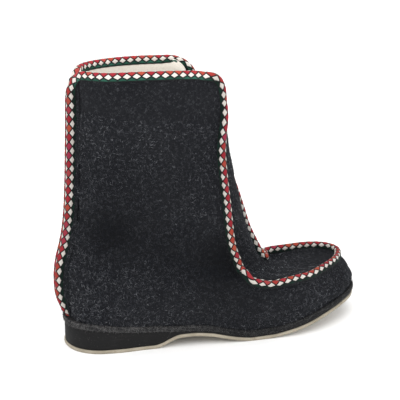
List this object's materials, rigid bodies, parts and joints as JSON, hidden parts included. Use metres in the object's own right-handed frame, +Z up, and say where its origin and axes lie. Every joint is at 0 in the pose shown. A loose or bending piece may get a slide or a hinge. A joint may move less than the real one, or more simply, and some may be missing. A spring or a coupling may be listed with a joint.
{
  "type": "felt slipper boot",
  "caption": "Ankle-high charcoal felt slipper boot with woven braid bound over its raised panel edges, on a felt midsole, a tapering rubber wedge and a thin pale outsole.",
  "frame": {"origin": "on the ground under the middle of the heel's flat underside", "axes": "+X towards the toe, +Y towards the inner side of this right boot, +Z up the shaft"},
  "size_m": [0.2819, 0.1017, 0.2418],
  "materials": {
    "charcoal_felt": "fuzzy wool felt",
    "grey_felt": "fuzzy pressed felt",
    "cream_felt": "soft felt lining",
    "black_rubber": "matt moulded rubber",
    "cream_crepe": "matt crepe rubber",
    "woven_braid": "patterned woven wool braid"
  },
  "bodies": {
    "root": {"outsole": "cream_crepe", "wedge": "black_rubber", "felt_midsole": "grey_felt", "insole": "cream_felt", "upper": "charcoal_felt", "binding_collar": "woven_braid", "binding_front": "woven_braid", "binding_back_outer": "woven_braid", "binding_back_inner": "woven_braid"}
  },
  "joints": []
}
